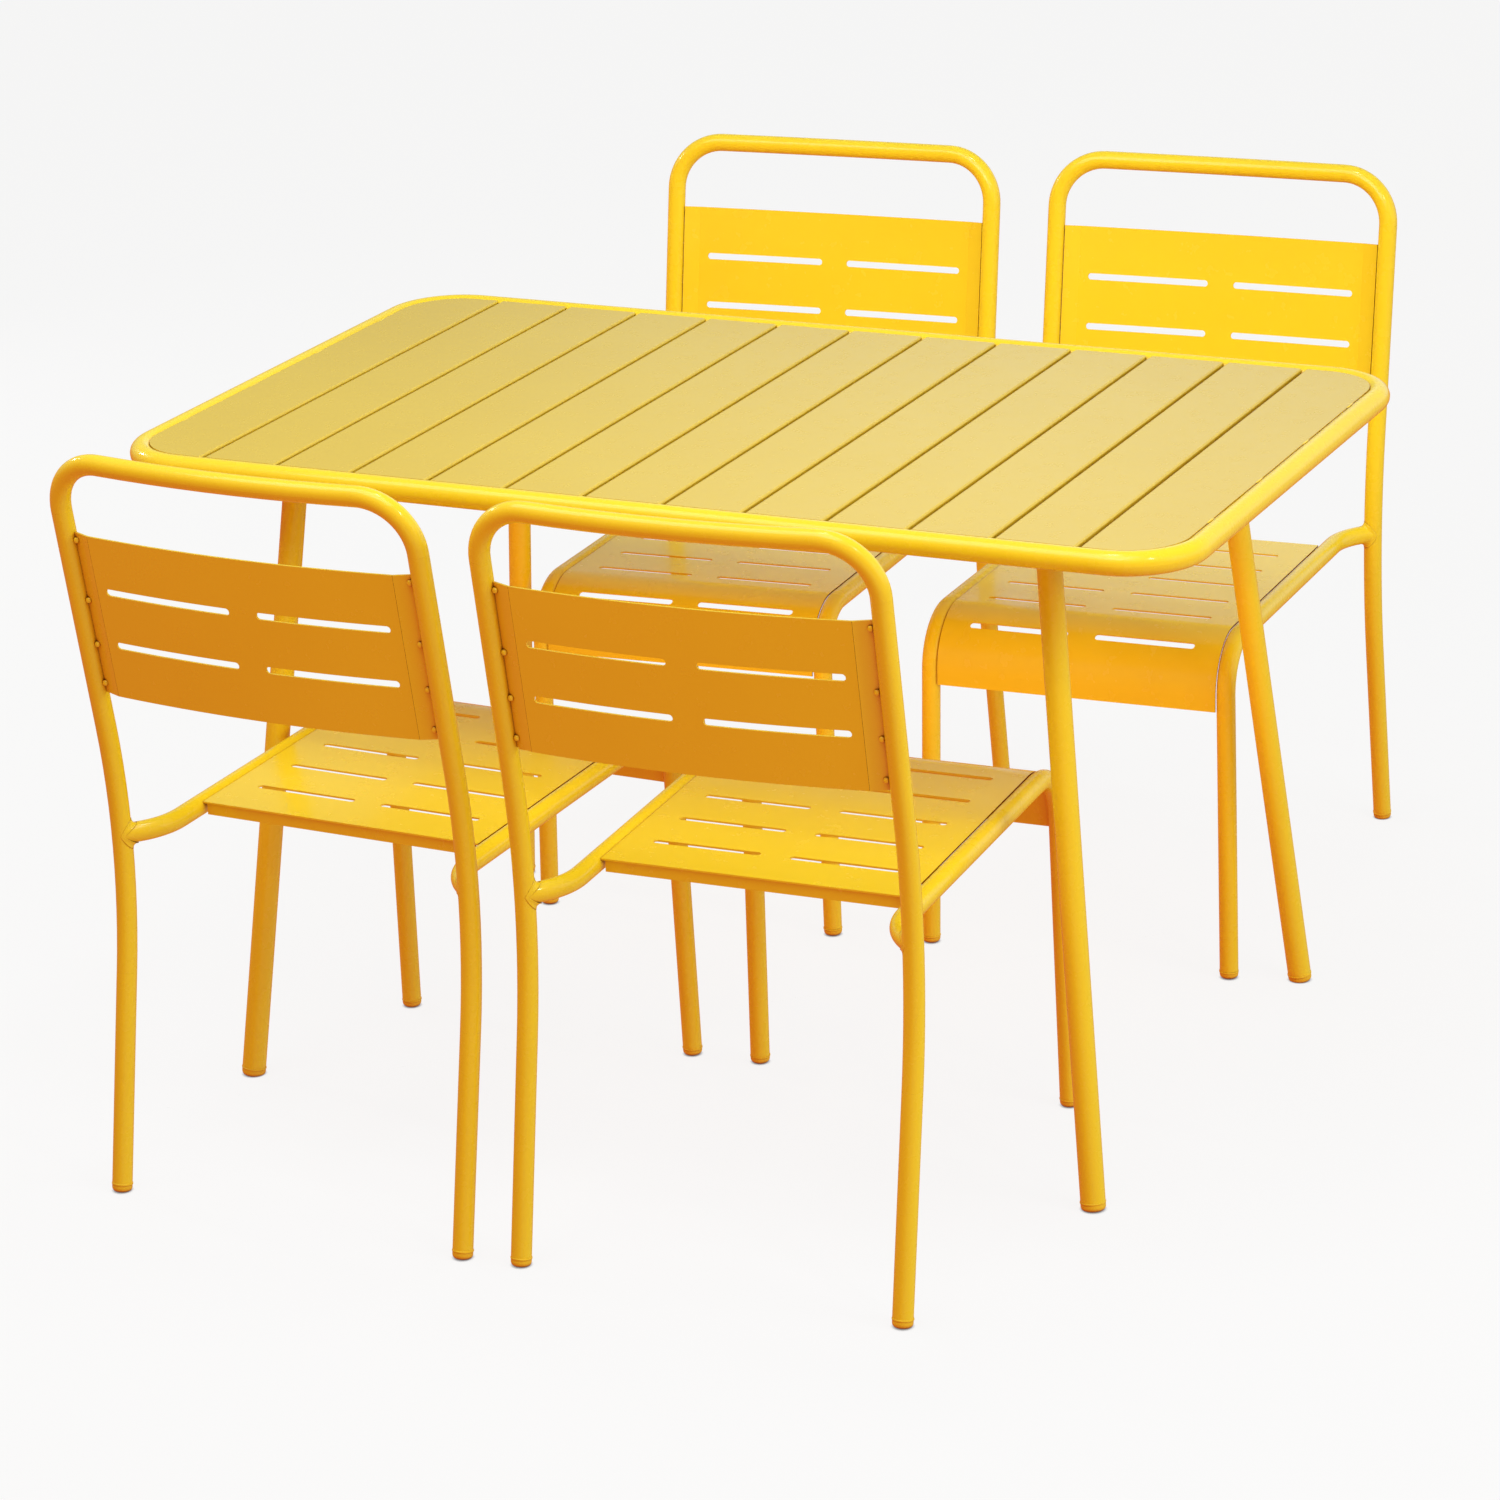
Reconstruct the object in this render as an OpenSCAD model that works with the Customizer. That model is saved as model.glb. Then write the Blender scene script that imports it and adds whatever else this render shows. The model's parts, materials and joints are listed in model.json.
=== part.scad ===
// Patio dining set: a slatted steel table and four stacking chairs.
// Millimetres. X runs along the table, Y across it (front to rear), Z up, floor at zero.
// Each chair is drawn about the floor point midway between its rear feet, facing +Y.

/* [Table top] */
// Length over the rim tube
table_length = 1260; // [1000:10:1600]
// Depth over the rim tube
table_depth = 744; // [600:4:900]
// Height to the top of the rim tube
table_height = 740; // [680:5:780]
// Rim tube diameter
rim_tube_d = 26; // [20:1:32]
// Corner radius on the rim tube's centre line
corner_radius = 76; // [50:2:140]
// Distance from one slat to the next
slat_pitch = 93; // [60:1:120]
// Gap between slats
slat_gap = 5; // [3:0.5:10]
// Depth of the folds along a slat's long edges
slat_fold = 15; // [8:1:16]
// Drop from the rim's top to the slats
slat_drop = 2; // [0:0.5:5]

/* [Table legs] */
// Leg tube diameter
leg_d = 27; // [20:1:34]
// Foot distance from the middle, along the table
leg_foot_x = 514; // [400:2:600]
// Foot distance from the middle, across the table
leg_foot_y = 336; // [240:2:360]
// Leg top distance from the middle, along the table
leg_top_x = 444; // [380:2:560]
// Leg top distance from the middle, across the table
leg_top_y = 262; // [200:2:340]
// Width of the cross rail that carries two legs
cross_rail_w = 34; // [28:1:60]

/* [Chair frame] */
// Chair tube diameter
tube_d = 22; // [16:1:25]
// Distance between the rear posts' centre lines
post_spacing = 428; // [380:2:480]
// Height of the back hoop's centre line
hoop_height = 831; // [760:2:900]
// Slant of the rear legs and of the back, in degrees
post_slant = 10.1; // [6:0.1:14]
// Radius of the rear posts' long bend
post_bend_r = 800; // [400:10:1200]
// Height of the middle of that bend
post_bend_z = 380; // [340:2:420]
// Radius of the hoop's top corners
hoop_corner_r = 60; // [40:1:100]
// How far the hoop's top bar is turned back at its ends, in degrees
hoop_bow = 5; // [2:0.5:10]
// Distance between the seat rails' centre lines
rail_spacing = 362; // [320:2:400]
// Height of the seat rails at the rear posts
rail_height = 394; // [360:1:440]
// Rise of the seat rails towards the front, in degrees
rail_rise = 1.3; // [0:0.1:4]
// Angle at which a rail leaves its post, in degrees
rail_turn = 55; // [40:1:70]
// Centre-line radius of the front knee
knee_r = 60; // [40:1:90]
// Distance from the rear feet to the front legs
leg_reach = 573; // [500:1:640]
// Outward slant of the front legs, in degrees
leg_splay = 0.9; // [0:0.1:3]

/* [Chair sheets] */
// Sheet thickness of the slats, the seat and the back
sheet = 2; // [1:0.5:3]
// Height of the seat's top above the rails' centre lines
seat_lift = 8; // [4:0.5:9]
// Rear edge of the seat, measured from the rear feet
seat_rear = 154; // [130:2:180]
// Depth of the fold along the seat's rear edge
seat_fold = 15; // [6:1:20]
// Length of the straight apron below the knee
apron_drop = 17; // [5:1:60]
// Slot length in the seat
seat_slot_length = 122; // [80:2:150]
// Slot width in the seat and the back
slot_w = 8; // [5:0.5:12]
// Distance between rows of slots in the seat
slot_row = 67; // [50:1:80]
// Height of the back panel
back_height = 188; // [140:2:240]
// Distance from the hoop's top bar down to the back panel
back_drop = 84; // [60:1:110]
// Slot length in the back
back_slot_length = 155; // [100:1:160]

/* [Feet] */
// Height of a glide cap below the end of its tube
glide_height = 9; // [6:1:14]
// Rounding of a glide cap's lower edge
glide_round = 5; // [3:0.5:7]

/* [Chair places] */
// Front left chair: x and y of the rear feet, and turn in degrees
place_a = [-274, -675, -2.2]; // [-900:0.1:900]
// Front right chair
place_b = [220, -671.5, 1.5]; // [-900:0.1:900]
// Rear left chair
place_c = [-285.5, 838, 183.7]; // [-900:0.1:900]
// Rear right chair
place_d = [223.5, 878.5, 182.3]; // [-900:0.1:900]

/* [Hidden] */
$fn = 72;
yellow = [0.94, 0.76, 0.10];
pale_yellow = [0.93, 0.80, 0.30];
glide_yellow = [0.88, 0.66, 0.08];
wall = 2;                       // wall of every tube
weld_gap = 0.15;                // hairline left where two welded pieces meet
over = 1;                       // how far a cutter runs past what it cuts
seam = 0.03;                    // hairline between the lengths of one bent tube
seam_depth = 0.1;               // depth of that hairline
origin_shift = [0, -101.81, 0]; // brings the middle of the whole set over the origin

middle_slat = 7;
rim_r = rim_tube_d / 2;
rim_z = table_height - rim_r;
rim_x = table_length / 2 - rim_r;
rim_y = table_depth / 2 - rim_r;
slat_z = table_height - slat_drop;
// the plate stops where its lower edge meets the rim tube
plate_inset = sqrt(pow(rim_r, 2) - pow(slat_z - sheet - rim_z, 2)) + weld_gap;
plate_y = rim_y - plate_inset;
fold_y = rim_y - rim_r - weld_gap;
fold_r = 2.5;                   // outside radius of a sheet fold
cross_rail_top = slat_z - sheet - weld_gap;
cross_rail_bottom = table_height - rim_tube_d;

tube_r = tube_d / 2;
post_u = post_spacing / 2;
rail_u = rail_spacing / 2;
foot_t = 5;                     // rear feet stand this far ahead of the chair's own zero
bend_rise = post_bend_r * sin(post_slant);
bend_t = foot_t + (post_bend_z - bend_rise) * tan(post_slant) - post_bend_r * cos(post_slant);
bend_end_t = bend_t + post_bend_r * cos(post_slant);
hoop_run = (hoop_height - post_bend_z - bend_rise) / cos(post_slant) - hoop_corner_r;
foot_run = (post_bend_z - bend_rise) / cos(post_slant);
bar_half = post_u - hoop_corner_r * cos(hoop_bow);
bar_r = bar_half / sin(hoop_bow);
seam_angle = asin(seam / bar_r);

post_t = bend_t + post_bend_r * cos(asin((rail_height - post_bend_z) / post_bend_r));
turn_r = (post_u - rail_u) / (1 - cos(rail_turn));
turn_run = turn_r * sin(rail_turn);
vent_d = 3;                     // vent hole on top of a rail, inward of and ahead of the post
vent_in = 12;
vent_ahead = 10;
// rail length from the post to the knee's outer line, so that the front feet stand at leg_reach
leg_reach_run = (leg_reach - post_t) * cos(rail_rise) - rail_height * sin(rail_rise);
rail_run = leg_reach_run - knee_r - turn_run;
// from the knee down to the floor along the slanted leg
front_leg_run = (rail_height + leg_reach_run * sin(rail_rise)) / (cos(rail_rise) * cos(leg_splay)) - knee_r;
seat_half = rail_u - sqrt(pow(tube_r, 2) - pow(seat_lift - sheet, 2)) - 0.4;
top_r = knee_r + seat_lift;     // outside of the sheet over the knee
knee_y = turn_run + rail_run;   // the knee's centre, ahead of the rear post
seat_run = round(10 * (knee_y - seat_rear + post_t)) / 10;
fold_inset = 4;                 // the rear fold stops this far from the seat's sides
fold_lip = 1.5;                 // the sheet's rear edge stands this far proud of the fold
slot_rows = 5;
first_row_t = 214;
slot_u = 16.5;                  // slots start this far from the middle
knee_slot_angle = 39;

strip_w = 20;                   // turned end strips of the back panel
strip_gap = 0.3;                // hairline between the panel and the posts
strip_turn = 18;
back_half = post_u - tube_r - strip_gap - sheet / 2 * sin(strip_turn);
arc_half = back_half - strip_w * cos(strip_turn);
arc_rise = 8.5;
arc_r = (pow(arc_half, 2) + pow(arc_rise, 2)) / (2 * arc_rise);
tack_d = 6;
tack_h = 3;
tack_in = 2.5;                  // tack centres, in from the strip's edge
tack_at = [8, 78, 130, 176];    // tack heights down from the panel's top edge
back_top = hoop_run + hoop_corner_r - back_drop;

stem_r = tube_r - wall - 0.1;
leg_stem_r = leg_d / 2 - wall - 0.1;
stem_length = 14;
// extra cap length that the floor cuts off, which leaves the flat patch a glide stands on
table_sole = 1.5;
rear_sole = 1.2;
front_sole = 0.4;

// ---------- shared shapes ----------

// straight round bar from the origin along +Z, a hairline short at both ends
module bar(length, r) translate([0, 0, seam]) cylinder(h = length - 2 * seam, r = r);

// bent round bar: turns about the Z axis from +X through the angle, centre line at distance d
module bent_bar(angle, d, r) rotate_extrude(angle = angle, $fn = 360)
    translate([d, 0]) circle(r = r, $fn = 72);

// short core that joins two lengths of one tube across their hairline
module joint(r) translate([0, 0, -over]) cylinder(h = 2 * over, r = r - seam_depth);

// slot with round ends, cut along Z, starting at the origin and running along +X
module slot(length, depth) {
    for (x = [slot_w / 2, length - slot_w / 2])
        translate([x, 0, -depth / 2]) cylinder(h = depth, d = slot_w, $fn = 32);
    translate([slot_w / 2, -slot_w / 2, -depth / 2]) cube([length - slot_w, slot_w, depth]);
}

// glide cap: the tube ends at the origin and the cap hangs below it, stem up
module glide(r, stem, drop) {
    rotate_extrude() {
        translate([0, -2 * over]) square([stem, stem_length + 2 * over]);
        translate([0, -drop + glide_round]) square([r, drop - glide_round - weld_gap]);
        translate([0, -drop]) square([r - glide_round, drop - weld_gap]);
        translate([r - glide_round, -drop + glide_round]) intersection() {
            circle(r = glide_round);
            translate([0, -glide_round]) square(glide_round);
        }
    }
}

// keeps only what is above the floor
module above_floor(size) {
    intersection() {
        children();
        translate([-size, -size, 0]) cube([2 * size, 2 * size, 4 * size]);
    }
}

// ---------- table ----------

// the rim's closed loop, as a round bar of radius r
module rim_loop(r) translate([0, 0, rim_z]) {
    for (s = [-1, 1]) {
        translate([s * rim_x, -rim_y + corner_radius, 0]) rotate([-90, 0, 0])
            cylinder(h = 2 * (rim_y - corner_radius), r = r);
        translate([-rim_x + corner_radius, s * rim_y, 0]) rotate([0, 90, 0])
            cylinder(h = 2 * (rim_x - corner_radius), r = r);
    }
    for (turn = [0, 90, 180, 270])
        translate([(turn == 0 || turn == 270 ? 1 : -1) * (rim_x - corner_radius),
                   (turn < 180 ? 1 : -1) * (rim_y - corner_radius), 0])
            rotate([0, 0, turn]) bent_bar(90, corner_radius, r);
}

module rim() color(yellow) place_table() difference() {
    rim_loop(rim_r);
    rim_loop(rim_r - wall);
    // vent hole under one long side
    translate([0, rim_y, rim_z - rim_r - over]) cylinder(h = rim_r, d = vent_d, $fn = 24);
}

// folded channel section, width w, top at zero
module slat_section(w) {
    for (s = [-1, 1]) {
        translate([s * (w / 2 - fold_r), -fold_r]) difference() {
            intersection() {
                circle(r = fold_r, $fn = 48);
                translate([s > 0 ? 0 : -fold_r, 0]) square(fold_r);
            }
            circle(r = fold_r - sheet, $fn = 24);
        }
        translate([s > 0 ? w / 2 - sheet : -w / 2, -slat_fold]) square([sheet, slat_fold - fold_r]);
    }
    translate([-w / 2 + fold_r, -sheet]) square([w - 2 * fold_r, sheet]);
}

module slat(number) place_table() {
    w = slat_pitch - slat_gap;
    translate([(number - middle_slat) * slat_pitch, 0, slat_z]) difference() {
        rotate([90, 0, 0]) linear_extrude(2 * plate_y, center = true) slat_section(w);
        for (s = [-1, 1]) translate([-w, s > 0 ? fold_y : -fold_y - 2 * rim_r, -slat_fold - over])
            cube([2 * w, 2 * rim_r, slat_fold - sheet + over]);
    }
}

// end slat: its outer edge follows the rim's rounded corners
module end_slat(side) place_table() {
    inner_x = (middle_slat - 1.5) * slat_pitch + slat_gap / 2;
    outer_r = corner_radius - plate_inset;
    scale([side, 1, 1]) {
        translate([0, 0, slat_z - sheet]) linear_extrude(sheet) {
            translate([inner_x + fold_r, -plate_y])
                square([rim_x - corner_radius - inner_x - fold_r, 2 * plate_y]);
            translate([rim_x - corner_radius - over, -rim_y + corner_radius])
                square([outer_r + over, 2 * (rim_y - corner_radius)]);
            for (s = [-1, 1]) translate([rim_x - corner_radius, s * (rim_y - corner_radius)])
                intersection() {
                    circle(r = outer_r);
                    translate([-over, s > 0 ? -over : -outer_r]) square(outer_r + over);
                }
        }
        // fold along the straight inner edge
        translate([inner_x + fold_r, 0, slat_z - fold_r]) rotate([90, 0, 0])
            linear_extrude(2 * plate_y, center = true) difference() {
                intersection() {
                    circle(r = fold_r, $fn = 48);
                    translate([-fold_r, 0]) square([fold_r, fold_r]);
                }
                circle(r = fold_r - sheet, $fn = 24);
            }
        translate([inner_x, -fold_y, slat_z - slat_fold])
            cube([sheet, 2 * fold_y, slat_fold - fold_r]);
    }
}

// box tube between the rim's long sides, hidden inside the channel of a slat
module cross_rail(side) place_table() difference() {
    translate([side * leg_top_x - cross_rail_w / 2, -rim_y, cross_rail_bottom])
        cube([cross_rail_w, 2 * rim_y, cross_rail_top - cross_rail_bottom]);
    translate([side * leg_top_x - cross_rail_w / 2 + wall, -rim_y - over, cross_rail_bottom + wall])
        cube([cross_rail_w - 2 * wall, 2 * rim_y + 2 * over,
              cross_rail_top - cross_rail_bottom - 2 * wall]);
    for (s = [-1, 1]) translate([side * leg_top_x - cross_rail_w, s * rim_y, rim_z])
        rotate([0, 90, 0]) cylinder(h = 2 * cross_rail_w, r = rim_r + weld_gap);
}

// puts +Z along a leg, with the origin at its foot
module along_leg(side_x, side_y) {
    dx = side_x * (leg_top_x - leg_foot_x);
    dy = side_y * (leg_top_y - leg_foot_y);
    place_table() translate([side_x * leg_foot_x, side_y * leg_foot_y, 0])
        rotate([0, atan(sqrt(pow(dx, 2) + pow(dy, 2)) / cross_rail_bottom), atan2(dy, dx)]) children();
}

module table_leg(side_x, side_y) difference() {
    along_leg(side_x, side_y) translate([0, 0, glide_height]) rotate([0, 0, 40]) difference() {
        cylinder(h = table_height, r = leg_d / 2);
        translate([0, 0, -over]) cylinder(h = table_height + 2 * over, r = leg_d / 2 - wall);
    }
    // cut level under the cross rail
    translate([-table_length, -table_length, cross_rail_bottom - weld_gap])
        cube([2 * table_length, 2 * table_length, table_height]);
}

module table_glides() color(glide_yellow) above_floor(table_length)
    for (sx = [-1, 1], sy = [-1, 1])
        along_leg(sx, sy) translate([0, 0, glide_height]) glide(leg_d / 2, leg_stem_r, glide_height + table_sole);

module place_table() translate(origin_shift) children();

// ---------- chair ----------

module place_chair(place) translate(origin_shift) translate([place[0], place[1], 0])
    rotate([0, 0, place[2]]) children();

// puts +Z along the upper post, with the origin at the end of the long bend
module lean_frame() translate([0, bend_end_t, post_bend_z + bend_rise]) rotate([post_slant, 0, 0]) children();

// the line of the rear legs and the back hoop, as a round bar of radius r
module hoop_line(r) {
    for (s = [-1, 1]) {
        translate([s * post_u, foot_t, 0]) rotate([-post_slant, 0, 0]) {
            translate([0, 0, glide_height]) bar(foot_run - glide_height, r);
            translate([0, 0, foot_run]) joint(r);
        }
        translate([s * post_u, bend_t, post_bend_z]) rotate([90, 0, 90]) rotate([0, 0, -post_slant])
            bent_bar(2 * post_slant, post_bend_r, r);
        lean_frame() translate([s * post_u, 0, 0]) {
            joint(r);
            bar(hoop_run, r);
            translate([0, 0, hoop_run]) joint(r);
        }
        // corner, turned a little so that it meets the bowed bar
        lean_frame() translate([s * post_u, 0, hoop_run])
            rotate([0, 0, s > 0 ? 180 + hoop_bow : -hoop_bow]) {
                translate([hoop_corner_r, 0, 0]) rotate([90, 0, 0]) rotate([0, 0, 90])
                    bent_bar(90, hoop_corner_r, r);
                translate([hoop_corner_r, 0, hoop_corner_r]) rotate([0, 90, 0]) joint(r);
            }
    }
    lean_frame() translate([0, bar_r * cos(hoop_bow) - hoop_corner_r * sin(hoop_bow),
                            hoop_run + hoop_corner_r])
        rotate([0, 0, 270 - hoop_bow + seam_angle]) bent_bar(2 * (hoop_bow - seam_angle), bar_r, r);
}

// rear legs and back hoop, one bent tube
module hoop(place) color(yellow) place_chair(place) difference() {
    hoop_line(tube_r);
    hoop_line(tube_r - wall);
}

// the line of a seat rail and front leg, as a round bar of radius r; side is -1 for the left
module rail_line(side, r) {
    // turn away from the post, then straight forward
    translate([side * turn_r, turn_run, 0])
        rotate([0, 0, side > 0 ? 180 : -rail_turn]) bent_bar(rail_turn, turn_r, r);
    translate([0, turn_run, 0]) rotate([-90, 0, 0]) {
        joint(r);
        bar(rail_run, r);
        translate([0, 0, rail_run]) joint(r);
    }
    // square knee and front leg
    translate([0, turn_run + rail_run, -knee_r]) {
        rotate([90, 0, 90]) bent_bar(90, knee_r, r);
        translate([0, knee_r, 0]) rotate([180, 0, 0]) {
            joint(r);
            bar(front_leg_run - glide_height, r);
        }
    }
}

// rise of the seat rails with the outward slant of the front legs; origin at the rear post's line
module rail_frame(side) translate([side * rail_u, post_t, rail_height])
    rotate([rail_rise, 0, 0]) rotate([0, -side * leg_splay, 0]) children();

// seat rail and front leg, one bent tube
module rail(place, side) color(yellow) place_chair(place) difference() {
    rail_frame(side) difference() {
        rail_line(side, tube_r);
        rail_line(side, tube_r - wall);
    }
    translate([side * post_u, post_t, rail_height - 2 * tube_d])
        cylinder(h = 4 * tube_d, r = tube_r + weld_gap);
    // small vent hole beside the weld
    translate([side * (post_u - vent_in), post_t + vent_ahead, rail_height])
        cylinder(h = tube_d, d = vent_d, $fn = 24);
}

// flat-lying frame of the seat: origin over the rear post line, on the rails' centre lines
module seat_frame() translate([0, post_t, rail_height]) rotate([rail_rise, 0, 0]) children();

// side view of the seat sheet, with the origin at the centre of the knee
module seat_section() {
    translate([-seat_run, top_r - sheet]) square([seat_run, sheet]);
    difference() {
        intersection() {
            circle(r = top_r, $fn = 180);
            square(top_r);
        }
        circle(r = top_r - sheet, $fn = 180);
    }
    translate([top_r - sheet, -apron_drop]) square([sheet, apron_drop]);
    // fold set back under the rear edge
    translate([-seat_run + fold_lip, top_r - seat_fold]) square([sheet, seat_fold - sheet / 2]);
}

module seat(place) color(pale_yellow) place_chair(place) seat_frame()
    translate([0, knee_y, -knee_r]) difference() {
        rotate([90, 0, 90]) linear_extrude(2 * seat_half, center = true) seat_section();
        // the rear fold stops short of the sides
        for (s = [-1, 1]) translate([s > 0 ? seat_half - fold_inset : -seat_half - over,
                                     -seat_run - over, top_r - seat_fold - over])
            cube([fold_inset + over, fold_lip + sheet + 2 * over, seat_fold - sheet + over]);
        for (row = [0 : slot_rows - 1], s = [-1, 1])
            translate([s > 0 ? slot_u : -slot_u - seat_slot_length,
                       first_row_t - post_t - knee_y + row * slot_row, top_r])
                slot(seat_slot_length, 6 * sheet);
        for (s = [-1, 1]) rotate([-knee_slot_angle, 0, 0])
            translate([s > 0 ? slot_u : -slot_u - seat_slot_length, 0, top_r])
                slot(seat_slot_length, 8 * sheet);
    }

// section of the back panel seen from above: a shallow arc with two turned end strips
module back_section() {
    translate([0, arc_r - arc_rise]) difference() {
        intersection() {
            circle(r = arc_r + sheet / 2, $fn = 360);
            translate([-arc_half, -2 * arc_r]) square([2 * arc_half, 2 * arc_r]);
        }
        circle(r = arc_r - sheet / 2, $fn = 360);
    }
    for (s = [-1, 1]) translate([s * arc_half, 0]) rotate([0, 0, s * strip_turn])
        translate([s > 0 ? 0 : -strip_w, -sheet / 2]) square([strip_w, sheet]);
}

module back(place) color(yellow) place_chair(place) lean_frame() difference() {
    translate([0, -strip_w * sin(strip_turn), back_top - back_height])
        linear_extrude(back_height) back_section();
    for (row = [1, 2], s = [-1, 1])
        translate([s > 0 ? slot_u : -slot_u - back_slot_length, -strip_w / 2,
                   back_top - back_height * row / 3])
            rotate([90, 0, 0]) slot(back_slot_length, 2 * strip_w);
}

// places its children at the root of an end strip, with +X along the strip for the right side
module strip_frame(side) translate([side * arc_half, -strip_w * sin(strip_turn), 0])
    rotate([0, 0, side * strip_turn]) children();

// short weld tacks in the grooves behind the panel's end strips
module tacks(place) color(yellow) place_chair(place) lean_frame()
    for (s = [-1, 1], drop = tack_at) translate([0, 0, back_top - drop]) difference() {
        strip_frame(s) translate([s * (strip_w - tack_in), -sheet / 2 - seam, 0]) rotate([90, 0, 0])
            cylinder(h = tack_h, d = tack_d, $fn = 24);
        translate([s * post_u, 0, -tube_r]) cylinder(h = tube_d, r = tube_r + seam);
    }

module chair_glides(place) color(glide_yellow) place_chair(place) above_floor(table_length) {
    for (s = [-1, 1]) {
        translate([s * post_u, foot_t, 0]) rotate([-post_slant, 0, 0]) translate([0, 0, glide_height])
            glide(tube_r, stem_r, glide_height + rear_sole);
        rail_frame(s) translate([0, turn_run + rail_run + knee_r, -knee_r - front_leg_run + glide_height])
            glide(tube_r, stem_r, glide_height + front_sole);
    }
}

// ---------- named pieces ----------

module slat_01() color(pale_yellow) end_slat(-1);
module slat_02() color(pale_yellow) slat(2);
module slat_03() color(pale_yellow) slat(3);
module slat_04() color(pale_yellow) slat(4);
module slat_05() color(pale_yellow) slat(5);
module slat_06() color(pale_yellow) slat(6);
module slat_07() color(pale_yellow) slat(7);
module slat_08() color(pale_yellow) slat(8);
module slat_09() color(pale_yellow) slat(9);
module slat_10() color(pale_yellow) slat(10);
module slat_11() color(pale_yellow) slat(11);
module slat_12() color(pale_yellow) slat(12);
module slat_13() color(pale_yellow) end_slat(1);
module cross_rail_left() color(yellow) cross_rail(-1);
module cross_rail_right() color(yellow) cross_rail(1);
module leg_front_left() color(yellow) table_leg(-1, -1);
module leg_front_right() color(yellow) table_leg(1, -1);
module leg_rear_left() color(yellow) table_leg(-1, 1);
module leg_rear_right() color(yellow) table_leg(1, 1);
module chair_a_hoop() color(yellow) hoop(place_a);
module chair_a_rail_left() color(yellow) rail(place_a, -1);
module chair_a_rail_right() color(yellow) rail(place_a, 1);
module chair_a_seat() color(pale_yellow) seat(place_a);
module chair_a_back() color(yellow) back(place_a);
module chair_a_tacks() color(yellow) tacks(place_a);
module chair_a_glides() color(glide_yellow) chair_glides(place_a);
module chair_b_hoop() color(yellow) hoop(place_b);
module chair_b_rail_left() color(yellow) rail(place_b, -1);
module chair_b_rail_right() color(yellow) rail(place_b, 1);
module chair_b_seat() color(pale_yellow) seat(place_b);
module chair_b_back() color(yellow) back(place_b);
module chair_b_tacks() color(yellow) tacks(place_b);
module chair_b_glides() color(glide_yellow) chair_glides(place_b);
module chair_c_hoop() color(yellow) hoop(place_c);
module chair_c_rail_left() color(yellow) rail(place_c, -1);
module chair_c_rail_right() color(yellow) rail(place_c, 1);
module chair_c_seat() color(pale_yellow) seat(place_c);
module chair_c_back() color(yellow) back(place_c);
module chair_c_tacks() color(yellow) tacks(place_c);
module chair_c_glides() color(glide_yellow) chair_glides(place_c);
module chair_d_hoop() color(yellow) hoop(place_d);
module chair_d_rail_left() color(yellow) rail(place_d, -1);
module chair_d_rail_right() color(yellow) rail(place_d, 1);
module chair_d_seat() color(pale_yellow) seat(place_d);
module chair_d_back() color(yellow) back(place_d);
module chair_d_tacks() color(yellow) tacks(place_d);
module chair_d_glides() color(glide_yellow) chair_glides(place_d);

rim();
slat_01();
slat_02();
slat_03();
slat_04();
slat_05();
slat_06();
slat_07();
slat_08();
slat_09();
slat_10();
slat_11();
slat_12();
slat_13();
cross_rail_left();
cross_rail_right();
leg_front_left();
leg_front_right();
leg_rear_left();
leg_rear_right();
table_glides();
chair_a_hoop();
chair_a_rail_left();
chair_a_rail_right();
chair_a_seat();
chair_a_back();
chair_a_tacks();
chair_a_glides();
chair_b_hoop();
chair_b_rail_left();
chair_b_rail_right();
chair_b_seat();
chair_b_back();
chair_b_tacks();
chair_b_glides();
chair_c_hoop();
chair_c_rail_left();
chair_c_rail_right();
chair_c_seat();
chair_c_back();
chair_c_tacks();
chair_c_glides();
chair_d_hoop();
chair_d_rail_left();
chair_d_rail_right();
chair_d_seat();
chair_d_back();
chair_d_tacks();
chair_d_glides();
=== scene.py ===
"""Patio dining set in glossy yellow powder coat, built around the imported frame."""
import json
import math

import bmesh
import bpy
from mathutils import Matrix, Vector

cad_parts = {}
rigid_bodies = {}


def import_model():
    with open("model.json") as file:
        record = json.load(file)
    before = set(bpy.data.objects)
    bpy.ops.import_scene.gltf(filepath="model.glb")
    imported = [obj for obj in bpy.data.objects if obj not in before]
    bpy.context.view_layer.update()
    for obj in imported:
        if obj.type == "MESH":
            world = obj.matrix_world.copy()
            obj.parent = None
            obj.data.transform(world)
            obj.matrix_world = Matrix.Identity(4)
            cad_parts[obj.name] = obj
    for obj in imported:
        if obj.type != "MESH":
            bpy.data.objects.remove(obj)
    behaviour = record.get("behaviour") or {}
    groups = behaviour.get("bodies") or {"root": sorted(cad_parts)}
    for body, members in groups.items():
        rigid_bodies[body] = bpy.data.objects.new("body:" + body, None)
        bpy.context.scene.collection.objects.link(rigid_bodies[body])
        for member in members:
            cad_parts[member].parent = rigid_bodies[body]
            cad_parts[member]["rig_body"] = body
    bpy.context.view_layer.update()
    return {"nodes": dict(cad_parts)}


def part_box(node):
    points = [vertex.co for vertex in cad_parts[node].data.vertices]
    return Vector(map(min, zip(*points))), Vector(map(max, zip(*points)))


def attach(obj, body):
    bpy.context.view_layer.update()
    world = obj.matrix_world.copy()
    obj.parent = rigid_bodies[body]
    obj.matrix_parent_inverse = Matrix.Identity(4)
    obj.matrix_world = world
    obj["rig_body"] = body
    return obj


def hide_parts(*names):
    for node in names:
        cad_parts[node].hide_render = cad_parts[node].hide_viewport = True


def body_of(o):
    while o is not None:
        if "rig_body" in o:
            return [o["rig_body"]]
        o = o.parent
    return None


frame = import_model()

nodes = frame["nodes"]

CHAIRS = "abcd"
UP = Vector((0, 0, 1))

# ---------------------------------------------------------------- camera

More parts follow.
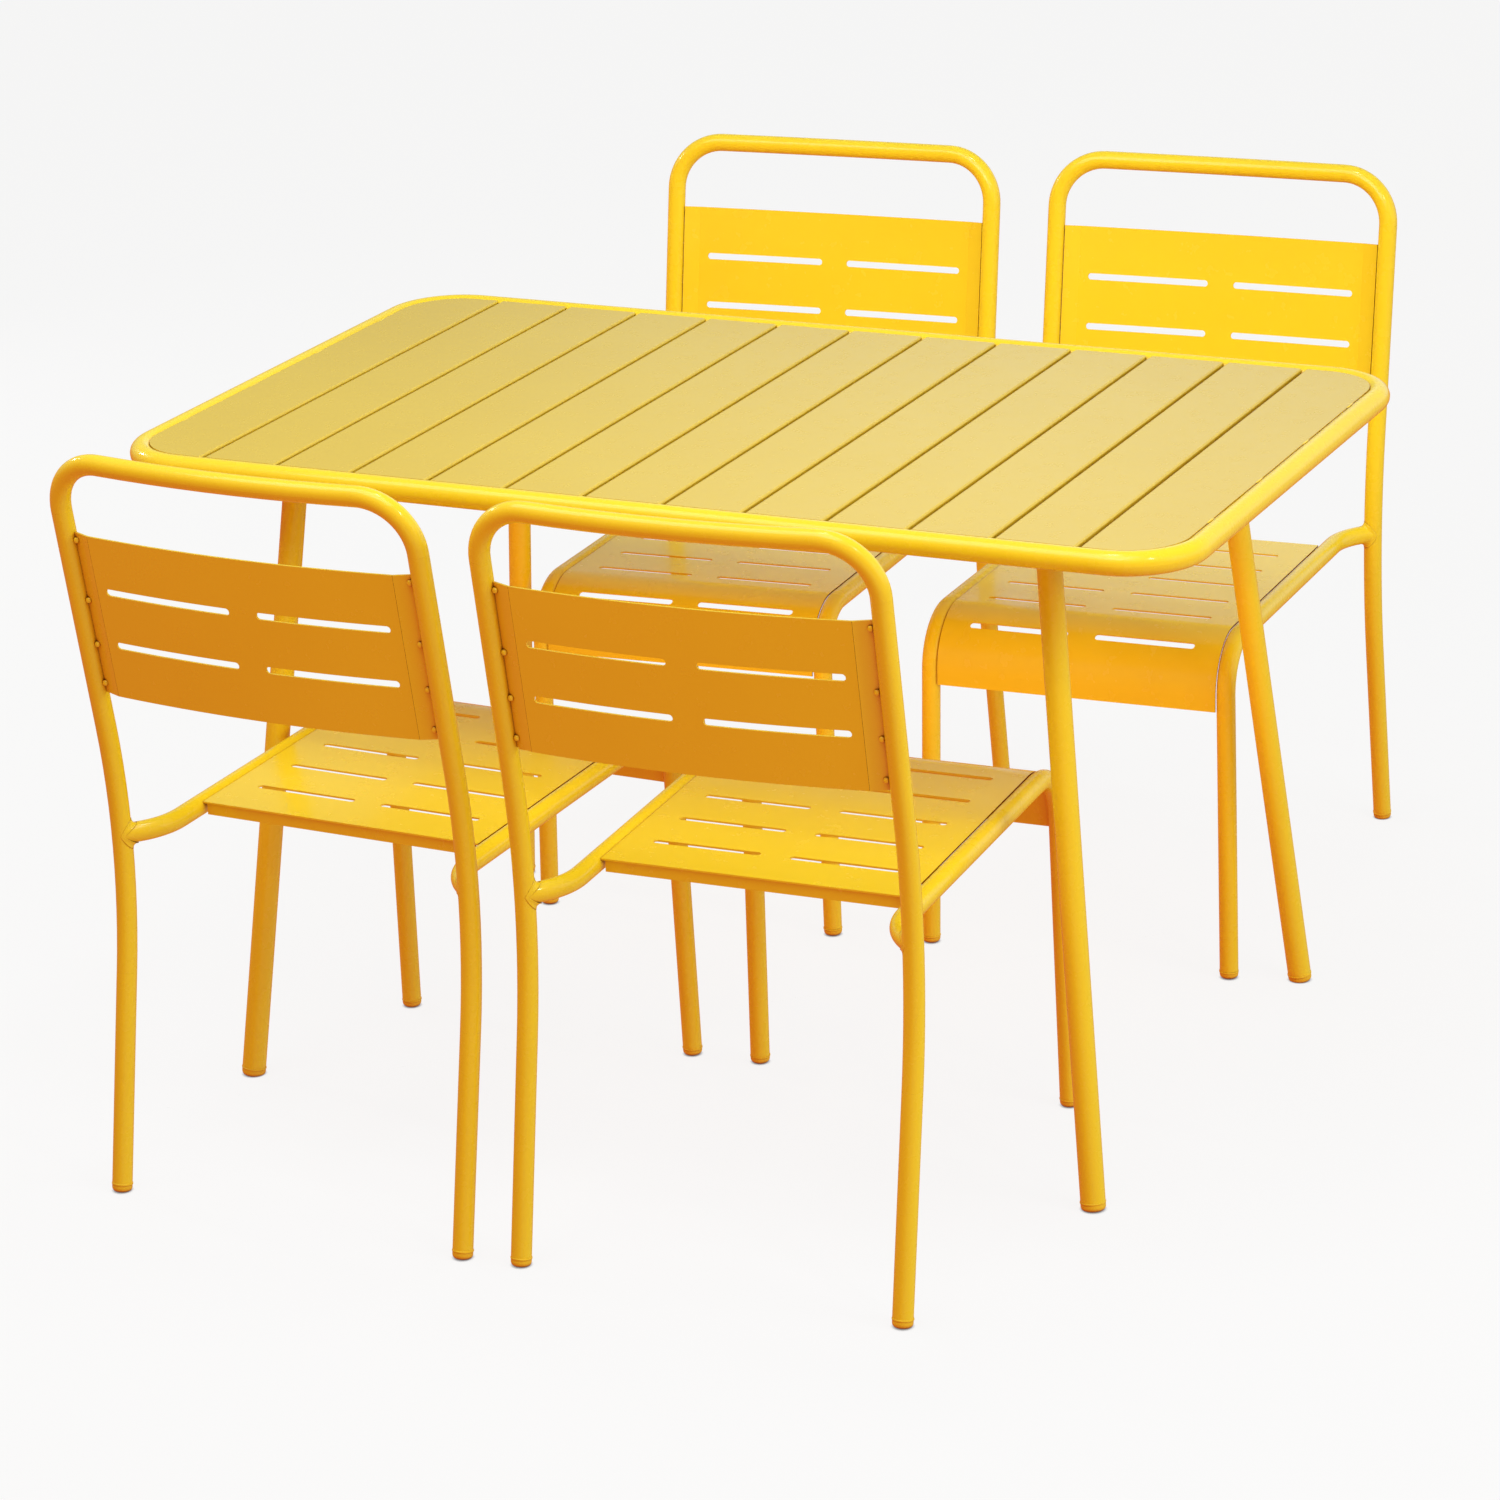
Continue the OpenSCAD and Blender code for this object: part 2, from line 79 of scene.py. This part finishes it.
# a pinhole camera fitted to points of the set in the square photo
CAMERA_AT = Vector((2.2272, -4.7946, 2.2128))
YAW, PITCH, ROLL = (math.radians(a) for a in (-25.69, 19.82, -2.18))
FOCAL_PX, PHOTO_PX = 4859, 1500
SENSOR = 36              # mm
FAR = 60                 # m, where the camera's view ends


def camera():
    ahead = Vector((math.sin(YAW) * math.cos(PITCH), math.cos(YAW) * math.cos(PITCH),
                    -math.sin(PITCH)))
    right = Vector((math.cos(YAW), -math.sin(YAW), 0))
    up = right.cross(ahead)
    right, up = (right * math.cos(ROLL) + up * math.sin(ROLL),
                 up * math.cos(ROLL) - right * math.sin(ROLL))
    data = bpy.data.cameras.new("camera")
    data.lens, data.sensor_width = FOCAL_PX / PHOTO_PX * SENSOR, SENSOR
    data.clip_end = FAR
    cam = bpy.data.objects.new("camera", data)
    bpy.context.scene.collection.objects.link(cam)
    turn = Matrix((right, up, -ahead)).transposed()
    cam.matrix_world = Matrix.Translation(CAMERA_AT) @ turn.to_4x4()
    bpy.context.scene.camera = cam


camera()
bpy.context.scene.view_settings.view_transform = "Standard"

# ---------------------------------------------------------------- materials

# each noise with its scale and detail, and the part of it that is used
DRIFT_NOISE, DRIFT_RANGE = (5.0, 3.0), (0.35, 0.75)
GLOSS_NOISE, GLOSS_RANGE = (60.0, 4.0), (0.3, 0.7)
GLOSS_SPREAD = (0.85, 1.2)       # roughness at the ends of that range, as a share of the paint's
PEEL_NOISE = (420.0, 2.0)
PEEL_DEPTH = 0.0004
COAT_ROUGHNESS = 0.08
PAINT_IOR = 1.5

# painted shade: the coat is darkened to orange near a corner and to brown in a narrow gap,
# standing for shade and light bounced between the parts: each tint with how open the surface is
# where it is full and where it is gone
CAVITY_REACH = 0.020
OPENNESS_SAMPLES = 8
PAINTED_CAVITY_SHADE = (((0.74, 0.26, 0.008), (0.15, 0.85)), ((0.10, 0.022, 0.003), (0.08, 0.48)))
PAINTED_SHEET_SHADE = (((0.74, 0.26, 0.008), (0.25, 0.95)), ((0.14, 0.032, 0.003), (0.15, 0.62)))
PAINTED_SLAT_SHADE = (((0.10, 0.030, 0.003), (0.0, 0.28)),)

YELLOW, YELLOW_DEEP = (0.92, 0.69, 0.018), (0.90, 0.66, 0.015)
# the slats carry a darker copy of the same yellow: painted shade for the dimmer light on the table
# top
SHADED_SLAT_YELLOW, SHADED_SLAT_YELLOW_DEEP = (0.71, 0.505, 0.032), (0.69, 0.485, 0.028)
GLIDE_YELLOW, GLIDE_YELLOW_DEEP = (0.90, 0.64, 0.016), (0.87, 0.60, 0.014)


class Nodes:
    """Short hand for one material's node tree."""

    def __init__(self, name):
        self.mat = bpy.data.materials.new(name)
        self.mat.use_nodes = True
        self.tree = self.mat.node_tree
        self.shader = self.tree.nodes["Principled BSDF"]
        self.place = self.add("ShaderNodeTexCoord").outputs["Object"]

    def add(self, kind, **values):
        """New node; each value sets the property of that name or else the input."""
        node = self.tree.nodes.new(kind)
        for key, value in values.items():
            if hasattr(node, key):
                setattr(node, key, value)
            else:
                node.inputs[key].default_value = value
        return node

    def link(self, out, into):
        self.tree.links.new(out, into)

    def noise(self, scale, detail):
        node = self.add("ShaderNodeTexNoise", Scale=scale, Detail=detail)
        self.link(self.place, node.inputs["Vector"])
        return node.outputs["Fac"]

    def ramp(self, value, low, high, a, b):
        """Value spread from low to high onto a to b."""
        node = self.add("ShaderNodeMapRange")
        for key, number in zip(("From Min", "From Max", "To Min", "To Max"), (low, high, a, b)):
            node.inputs[key].default_value = number
        self.link(value, node.inputs["Value"])
        return node.outputs["Result"]

    def openness(self, reach):
        """How much of the surroundings within reach is empty, from 0 to 1."""
        node = self.add("ShaderNodeAmbientOcclusion", samples=OPENNESS_SAMPLES, Distance=reach)
        return node.outputs["AO"]


def powder_coat(name, colour, deep, *, rough, coat, peel, shine=0.5, tints=PAINTED_CAVITY_SHADE):
    """Gloss powder coat: orange peel in the surface, faint drift in colour and gloss, painted shade
    in corners and gaps.
    """
    n = Nodes(name)
    mix = n.add("ShaderNodeMix", data_type="RGBA")
    mix.inputs["A"].default_value = (*colour, 1)
    mix.inputs["B"].default_value = (*deep, 1)
    n.link(n.ramp(n.noise(*DRIFT_NOISE), *DRIFT_RANGE, 0, 1), mix.inputs["Factor"])
    # painted shade: each tint darkens the paint where little around the surface is open
    openness = n.openness(CAVITY_REACH)
    surface = mix.outputs["Result"]
    for tint, open_range in tints:
        shade = n.add("ShaderNodeMix", data_type="RGBA")
        shade.inputs["A"].default_value = (*tint, 1)
        n.link(surface, shade.inputs["B"])
        n.link(n.ramp(openness, *open_range, 0, 1), shade.inputs["Factor"])
        surface = shade.outputs["Result"]
    n.link(surface, n.shader.inputs["Base Color"])
    gloss = n.ramp(n.noise(*GLOSS_NOISE), *GLOSS_RANGE, *(rough * share for share in GLOSS_SPREAD))
    n.link(gloss, n.shader.inputs["Roughness"])
    bump = n.add("ShaderNodeBump", Strength=peel, Distance=PEEL_DEPTH)
    n.link(n.noise(*PEEL_NOISE), bump.inputs["Height"])
    n.link(bump.outputs["Normal"], n.shader.inputs["Normal"])
    n.shader.inputs["Coat Weight"].default_value = coat
    n.shader.inputs["Coat Roughness"].default_value = COAT_ROUGHNESS
    n.shader.inputs["IOR"].default_value = PAINT_IOR
    n.shader.inputs["Specular IOR Level"].default_value = shine
    return n.mat


tube_paint = powder_coat("tube_powder_coat", YELLOW, YELLOW_DEEP,
                         rough=0.26, coat=0.45, peel=0.04, shine=0.25)
sheet_paint = powder_coat("sheet_powder_coat", YELLOW, YELLOW_DEEP,
                          rough=0.24, coat=0.2, peel=0.06, tints=PAINTED_SHEET_SHADE)
slat_paint = powder_coat("slat_powder_coat", SHADED_SLAT_YELLOW, SHADED_SLAT_YELLOW_DEEP,
                         rough=0.24, coat=0.3, peel=0.06, tints=PAINTED_SLAT_SHADE)
glide_plastic = powder_coat("glide_plastic", GLIDE_YELLOW, GLIDE_YELLOW_DEEP,
                            rough=0.42, coat=0.0, peel=0.05, shine=0.4)

for name, node in nodes.items():
    paint = (glide_plastic if name.endswith("glides") else
             slat_paint if name.startswith("slat") else
             sheet_paint if name.endswith(("seat", "back")) else tube_paint)
    node.data.materials.clear()
    node.data.materials.append(paint)

# ---------------------------------------------------------------- reading the CAD

FOOT_REACH = 0.03        # how far above its lowest point a node's tube ends are looked for
ONE_END = 0.03           # half width up to which what is found there is a single tube end
FOOT_T = 0.0066          # rear tube ends, ahead of the chair's zero


def tube_ends(name):
    """Middles of a node's tube ends near the floor, in order along x."""
    points = [v.co for v in nodes[name].data.vertices]
    low = min(p.z for p in points) + FOOT_REACH
    feet = [p for p in points if p.z < low]
    middle = (min(p.x for p in feet) + max(p.x for p in feet)) / 2
    groups = [[p for p in feet if (p.x > middle) == right] for right in (False, True)]
    if max(p.x for p in feet) - middle < ONE_END:
        groups = [feet]
    return [sum(group, Vector()) / len(group) for group in groups]


def chair_frame(letter):
    """Chair's own frame, x to its side, y forward, from its rear tube ends and its seat."""
    left, right = tube_ends(f"chair_{letter}_hoop")
    low, high = (Vector(corner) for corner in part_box(f"chair_{letter}_seat"))
    forward = UP.cross(right - left).normalized()
    if forward.dot((low + high) / 2 - left) < 0:
        forward = -forward
    side = forward.cross(UP)
    origin = (left + right) / 2
    origin = Vector((origin.x, origin.y, 0)) - forward * FOOT_T
    return Matrix.Translation(origin) @ Matrix((side, forward, UP)).transposed().to_4x4()


def islands(mesh):
    """Boxes of a mesh's separate lumps, as (middle, half size)."""
    bm = bmesh.new()
    bm.from_mesh(mesh)
    bmesh.ops.remove_doubles(bm, verts=bm.verts, dist=1e-6)
    left, found = set(bm.verts), []
    while left:
        heap, lump = [left.pop()], []
        while heap:
            vert = heap.pop()
            lump.append(vert.co.copy())
            for edge in vert.link_edges:
                other = edge.other_vert(vert)
                if other in left:
                    left.remove(other)
                    heap.append(other)
        low = Vector([min(p[i] for p in lump) for i in range(3)])
        high = Vector([max(p[i] for p in lump) for i in range(3)])
        found.append(((low + high) / 2, (high - low) / 2))
    bm.free()
    return sorted(found, key=lambda box: tuple(box[0]))


# ---------------------------------------------------------------- shapes of welds and lips

TUBE_R = 0.011           # chair tubes
LEG_R = 0.0135           # table legs

POST_SPACING = 0.428     # between the middles of a chair's rear posts
POST_T = 0.060           # rear posts at rail height, ahead of the chair's zero
POST_SLANT = math.radians(10.1)
POST_AXIS = Vector((0, math.sin(POST_SLANT), math.cos(POST_SLANT)))      # in the chair's frame
RAIL_HEIGHT = 0.394
RAIL_TURN = math.radians(55)     # of the rail where it meets the post, from straight ahead

FILLET = 0.006           # leg length of the weld fillet along each tube, at top and bottom
FILLET_LEAST = 0.35      # share of it that is left at the sides
FILLET_PROUD = 0.00012   # how far the fillet's edges stand proud of the tubes
FILLET_HOLLOW = 0.0003   # how far its concave face stays off the tubes' corner
FILLET_INNER = (0.8, 0.6)        # its hidden edge inside the rail, as a share of radius and reach

BEAD_SQUARENESS = 0.8    # below 1 a bead is fuller than an ellipsoid
BEAD_RIPPLE = 0.06       # height of the ripple, as a share of the girth
BEAD_WAVES = 3           # half waves from the middle to an end

SEAM_WELDS = 4
SEAM_WELD = Vector((0.0014, 0.011, 0.0010))
SEAM_START, SEAM_SPAN = 0.18, 0.64       # shares of the end slat's length
SEAM_DEPTH = 0.0006      # middle of a seam weld below the slat's face

LIP = 0.0006             # how far a lip stands proud of its tube
LIP_HEIGHT = 0.0024


def fillet(place, side, steps=72, arc=7):
    """Concave weld where a seat rail runs into its rear post, as a closed loop of sections."""
    root = Vector((side * POST_SPACING / 2, POST_T, RAIL_HEIGHT))
    out = Vector((-side * math.sin(RAIL_TURN), math.cos(RAIL_TURN), 0))
    across = out.cross(UP)
    proud = TUBE_R + FILLET_PROUD
    inner_radius, inner_reach = FILLET_INNER
    rings = []
    for k in range(steps):
        turn = 2 * math.pi * k / steps
        cos, sin = math.cos(turn), math.sin(turn)
        reach = TUBE_R * abs(sin)
        leg = FILLET * (FILLET_LEAST + (1 - FILLET_LEAST) * abs(sin))
        around = across * cos + UP * sin
        on_rail = root + around * proud + out * (reach + leg)
        # the joint's line unrolled on the post, pushed outwards by the fillet's leg
        flat = Vector((math.atan2(cos, abs(sin)) * TUBE_R, TUBE_R * sin))
        flat += flat.normalized() * leg
        angle = flat.x / TUBE_R
        on_post = root + (out * math.cos(angle) + across * math.sin(angle)) * proud + UP * flat.y
        corner = root + around * (TUBE_R + FILLET_HOLLOW) + out * (reach + FILLET_HOLLOW)
        inner = root + around * (TUBE_R * inner_radius) + out * (reach * inner_reach)
        ring = []
        for i in range(arc):
            f = i / (arc - 1)
            ring.append(on_rail * (1 - f) ** 2 + corner * 2 * f * (1 - f) + on_post * f ** 2)
        ring.append(inner)
        rings.append([place @ p for p in ring])
    return rings


def bead(middle, half, rows=9, sides=18):
    """Rounded weld bead with a slightly squared outline and a ripple, as a row of sections."""
    rings = []
    for r in range(1, rows):
        lift = -math.cos(math.pi * r / rows)
        ripple = 1 + BEAD_RIPPLE * math.cos(BEAD_WAVES * math.pi * lift)
        girth = math.sin(math.pi * r / rows) ** BEAD_SQUARENESS * ripple
        rings.append([middle + Vector((half.x * girth * math.cos(a), half.y * girth * math.sin(a),
                                       half.z * lift))
                      for a in (2 * math.pi * k / sides for k in range(sides))])
    return rings


def seam_welds(name, side):
    """Short welds along the seam between an end slat and the rim, one by one."""
    low, high = (Vector(corner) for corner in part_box(name))
    x = high.x if side > 0 else low.x
    for k in range(SEAM_WELDS):
        y = low.y + (high.y - low.y) * (SEAM_START + SEAM_SPAN * k / (SEAM_WELDS - 1))
        yield bead(Vector((x, y, high.z - SEAM_DEPTH)), SEAM_WELD)


def lip(end, axis, radius, steps=48, arc=6):
    """Rounded collar just below a tube's end, as a closed loop of sections."""
    side = axis.orthogonal().normalized()
    other = axis.cross(side)
    profile = [(radius - LIP, 0), (radius - LIP, -LIP_HEIGHT)]
    for i in range(arc):
        turn = math.pi * i / (arc - 1)
        profile.append((radius + LIP * math.sin(turn), -LIP_HEIGHT * (1 + math.cos(turn)) / 2))
    return [[end + (side * math.cos(a) + other * math.sin(a)) * r + axis * h for r, h in profile]
            for a in (2 * math.pi * k / steps for k in range(steps))]


def leg_axis(name, end):
    """Direction of a straight table leg, upwards and inwards from its end."""
    low, high = (Vector(corner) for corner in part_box(name))
    lean = [high[i] - low[i] - 2 * LEG_R for i in (0, 1)]
    lean = [-d if end[i] > 0 else d for i, d in enumerate(lean)]
    return Vector((*lean, high.z - low.z)).normalized()


def solid(name, lofts, body, paint, closed=False):
    """Smooth piece of one or more lofts; closed joins a loft's last section to its first."""
    mesh = bpy.data.meshes.new(name)
    bm = bmesh.new()
    for loft in lofts:
        rows = [[bm.verts.new(p) for p in ring] for ring in loft]
        sides = len(rows[0])
        pairs = list(zip(rows, rows[1:])) + ([(rows[-1], rows[0])] if closed else [])
        for row, after in pairs:
            for i in range(sides):
                j = (i + 1) % sides
                bm.faces.new((row[i], row[j], after[j], after[i]))
        if not closed:
            bm.faces.new(reversed(rows[0]))
            bm.faces.new(rows[-1])
    bmesh.ops.recalc_face_normals(bm, faces=bm.faces)
    for face in bm.faces:
        face.smooth = True
    bm.to_mesh(mesh)
    bm.free()
    mesh.materials.append(paint)
    piece = bpy.data.objects.new(name, mesh)
    bpy.context.scene.collection.objects.link(piece)
    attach(piece, body)
    return piece


# ---------------------------------------------------------------- welds and lips in place

for letter in CHAIRS:
    place = chair_frame(letter)
    body = body_of(nodes[f"chair_{letter}_hoop"])[0]
    fillets = [fillet(place, side) for side in (-1, 1)]
    solid(f"rail_welds_{letter}", fillets, body, tube_paint, closed=True)
    beads = [bead(*box) for box in islands(nodes[f"chair_{letter}_tacks"].data)]
    tacks = solid(f"tack_welds_{letter}", beads, body, tube_paint)
    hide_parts(f"chair_{letter}_tacks")

for letter in CHAIRS:
    body = body_of(nodes[f"chair_{letter}_hoop"])[0]
    post_axis = chair_frame(letter).to_3x3() @ POST_AXIS
    lips = [lip(end, post_axis, TUBE_R) for end in tube_ends(f"chair_{letter}_hoop")]
    for side in ("left", "right"):
        lips += [lip(end, UP, TUBE_R) for end in tube_ends(f"chair_{letter}_rail_{side}")]
    solid(f"glide_lips_{letter}", lips, body, glide_plastic, closed=True)

table = body_of(nodes["rim"])[0]
leg_ends = {name: tube_ends(name)[0] for name in nodes if name.startswith("leg_")}
table_lips = [lip(end, leg_axis(name, end), LEG_R) for name, end in leg_ends.items()]
solid("glide_lips_table", table_lips, table, glide_plastic, closed=True)

seams = [*seam_welds("slat_01", -1), *seam_welds("slat_13", 1)]
solid("seam_welds", seams, table, tube_paint)

# ---------------------------------------------------------------- floor

FLOOR_WHITE = 0.955
FLOOR_DIFFUSE = 0.08
FLOOR_HALF = 30
FLOOR_DROP = 0.0005      # keeps the paper off the glides' undersides
CONTACT_REACH = 0.005
CONTACT_RANGE = (0.1, 0.75)      # how open the paper is where the contact shade is full and gone
CONTACT_GLOW = 0.12      # what is left of the paper's white there


def floor():
    """White paper that glows by itself, with a painted contact shadow where a foot touches it."""
    mesh = bpy.data.meshes.new("floor")
    corners = [(x * FLOOR_HALF, y * FLOOR_HALF, 0) for x, y in ((-1, -1), (1, -1), (1, 1), (-1, 1))]
    mesh.from_pydata(corners, [], [(0, 1, 2, 3)])
    obj = bpy.data.objects.new("floor", mesh)
    obj.location.z = -FLOOR_DROP
    obj.visible_diffuse = obj.visible_glossy = False
    bpy.context.scene.collection.objects.link(obj)
    n = Nodes("floor_paper")
    n.shader.inputs["Base Color"].default_value = (FLOOR_DIFFUSE, FLOOR_DIFFUSE, FLOOR_DIFFUSE, 1)
    n.shader.inputs["Roughness"].default_value = 1.0
    n.shader.inputs["Specular IOR Level"].default_value = 0.0
    n.shader.inputs["Emission Color"].default_value = (1, 1, 1, 1)
    # painted contact shadow: the glow dims where little around the paper is open
    glow = n.ramp(n.openness(CONTACT_REACH), *CONTACT_RANGE,
                  CONTACT_GLOW, FLOOR_WHITE - FLOOR_DIFFUSE)
    n.link(glow, n.shader.inputs["Emission Strength"])
    mesh.materials.append(n.mat)


# ---------------------------------------------------------------- light

# colour of the light from each side of the set, the camera being in front and to the right
FRONT = (0.62, 0.205, 0.19)
FRONT_LEFT = (0.50, 0.11, 0.09)
REAR = (0.86, 0.88, 0.92)
REAR_LEFT = (0.45, 0.42, 0.34)
ABOVE = (0.46, 0.46, 0.42)
BELOW = (0.74, 0.17, 0.10)
BELOW_RIGHT = (0.66, 0.52, 0.36)

# where two of them blend, on the named axis of the direction
REAR_ACROSS = ("X", -0.50, -0.36)
FRONT_ACROSS = ("X", -0.6, 0.5)
FRONT_TO_REAR = ("Y", -0.65, 0.15)
LEVEL_TO_ABOVE = ("Z", 0.15, 0.65)
BELOW_ACROSS = ("X", -0.1, 0.6)
BELOW_TO_LEVEL = ("Z", -0.1, 0.02)

WHITE = (1, 1, 1)
WIDE = 180               # degrees, an area light that isn't narrowed
GLINTS = (((0.1, -0.3, 3.0), 6), ((-2.9, 0.2, 2.0), 9), ((2.1, -1.4, 2.8), 8))
GLINT_AIM = (0.0, 0.0, 0.6)
GLINT_SIZE = (0.28, 0.28)


def surroundings():
    """A white room as the camera sees it; as light it is white behind, warm and dimmer in
    front and below, and dim above."""
    world = bpy.data.worlds.new("studio")
    world.use_nodes = True
    tree = world.node_tree
    sky = tree.nodes["Background"]
    out = tree.nodes["World Output"]
    place = tree.nodes.new("ShaderNodeTexCoord")
    split = tree.nodes.new("ShaderNodeSeparateXYZ")
    tree.links.new(place.outputs["Generated"], split.inputs["Vector"])

    def blend(axis, low, high, a, b):
        ramp = tree.nodes.new("ShaderNodeMapRange")
        ramp.interpolation_type = "SMOOTHSTEP"
        ramp.inputs["From Min"].default_value = low
        ramp.inputs["From Max"].default_value = high
        tree.links.new(split.outputs[axis], ramp.inputs["Value"])
        mix = tree.nodes.new("ShaderNodeMix")
        mix.data_type = "RGBA"
        tree.links.new(ramp.outputs["Result"], mix.inputs["Factor"])
        for key, value in (("A", a), ("B", b)):
            if isinstance(value, tuple):
                mix.inputs[key].default_value = (*value, 1)
            else:
                tree.links.new(value, mix.inputs[key])
        return mix.outputs["Result"]

    rear = blend(*REAR_ACROSS, REAR_LEFT, REAR)
    front = blend(*FRONT_ACROSS, FRONT_LEFT, FRONT)
    level = blend(*FRONT_TO_REAR, front, rear)
    upper = blend(*LEVEL_TO_ABOVE, level, ABOVE)
    lower = blend(*BELOW_ACROSS, BELOW, BELOW_RIGHT)
    whole = blend(*BELOW_TO_LEVEL, lower, upper)
    tree.links.new(whole, sky.inputs["Color"])
    white = tree.nodes.new("ShaderNodeBackground")
    white.inputs["Color"].default_value = (FLOOR_WHITE, FLOOR_WHITE, FLOOR_WHITE, 1)
    path = tree.nodes.new("ShaderNodeLightPath")
    mix = tree.nodes.new("ShaderNodeMixShader")
    tree.links.new(path.outputs["Is Camera Ray"], mix.inputs["Fac"])
    tree.links.new(sky.outputs["Background"], mix.inputs[1])
    tree.links.new(white.outputs["Background"], mix.inputs[2])
    tree.links.new(mix.outputs["Shader"], out.inputs["Surface"])
    bpy.context.scene.world = world


def area(name, *, at, aim, size, power, colour=WHITE, spread=WIDE, mirrored=True):
    """Rectangular light that the camera doesn't see; mirrored ones show in the paint."""
    data = bpy.data.lights.new(name, "AREA")
    data.shape, data.size, data.size_y = "RECTANGLE", *size
    data.energy, data.color, data.spread = power, colour, math.radians(spread)
    obj = bpy.data.objects.new(name, data)
    obj.location = at
    obj.rotation_euler = (Vector(aim) - Vector(at)).to_track_quat("-Z", "Y").to_euler()
    obj.visible_camera = False
    obj.visible_glossy = mirrored
    bpy.context.scene.collection.objects.link(obj)


floor()
surroundings()
area("softbox", at=(-0.2, -1.1, 2.5), aim=(-0.1, -0.5, 0.4), size=(2.4, 1.2), power=24)
area("rear_softbox", at=(0.2, -1.3, 1.9), aim=(0.0, 0.9, 0.75), size=(1.8, 0.5), power=2.2,
     colour=(0.70, 1.0, 0.95), spread=80)
area("right_softbox", at=(2.9, -0.6, 1.8), aim=(0.2, 0.2, 0.5), size=(1.2, 1.4), power=26,
     mirrored=False)
area("left_edge", at=(-3.0, 1.6, 1.2), aim=(0.0, 0.0, 0.5), size=(1.0, 1.4), power=10,
     mirrored=False)
area("front_fill", at=(0.9, -2.6, 0.30), aim=(0.1, 0.6, 0.40), size=(1.6, 0.4), power=3,
     colour=(1.0, 0.66, 0.40), mirrored=False)
area("under_glow", at=(0.0, -0.05, 0.42), aim=(0.0, 0.60, 0.34), size=(1.0, 0.2), power=0.8,
     colour=(1.0, 0.70, 0.35), mirrored=False)
for number, (at, power) in enumerate(GLINTS):
    area(f"glint_{number}", at=at, aim=GLINT_AIM, size=GLINT_SIZE, power=power)
